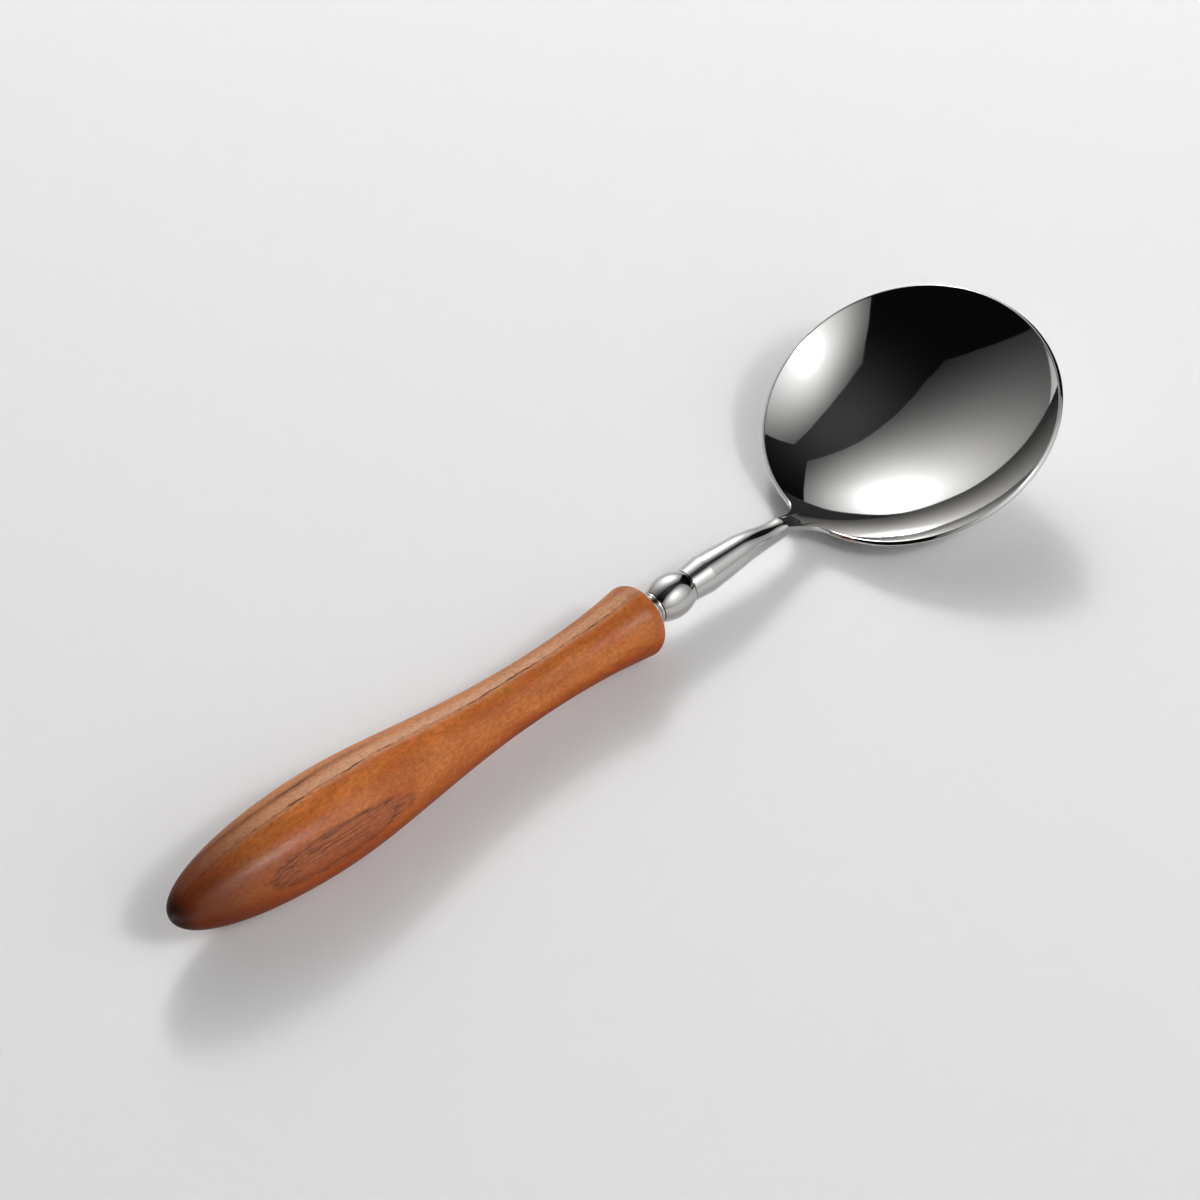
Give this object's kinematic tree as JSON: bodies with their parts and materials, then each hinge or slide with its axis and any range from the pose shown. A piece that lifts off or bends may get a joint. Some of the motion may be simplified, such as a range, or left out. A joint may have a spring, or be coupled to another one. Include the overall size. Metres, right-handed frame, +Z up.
{
  "type": "serving spoon",
  "caption": "Serving spoon with a round polished steel bowl, a tapered shank with a turned bead, and a turned wooden handle with a waist and a full belly.",
  "frame": {"origin": "on the table under the middle of the spoon's length and width, at the level on which the bowl and the belly of the handle rest", "axes": "+X from the butt of the handle to the tip of the bowl, +Z up out of the open bowl, +Y to the left when looking along +X"},
  "size_m": [0.255, 0.072, 0.0299],
  "materials": {
    "polished_steel": "polished",
    "tang_steel": "satin",
    "epoxy": "gloss",
    "wood": "satin"
  },
  "bodies": {
    "root": {"bowl": "polished_steel", "shank": "polished_steel", "bead": "polished_steel", "spacer_ring": "polished_steel", "seat_washer": "polished_steel", "tang": "tang_steel", "tang_adhesive": "epoxy", "handle": "wood"}
  },
  "joints": []
}
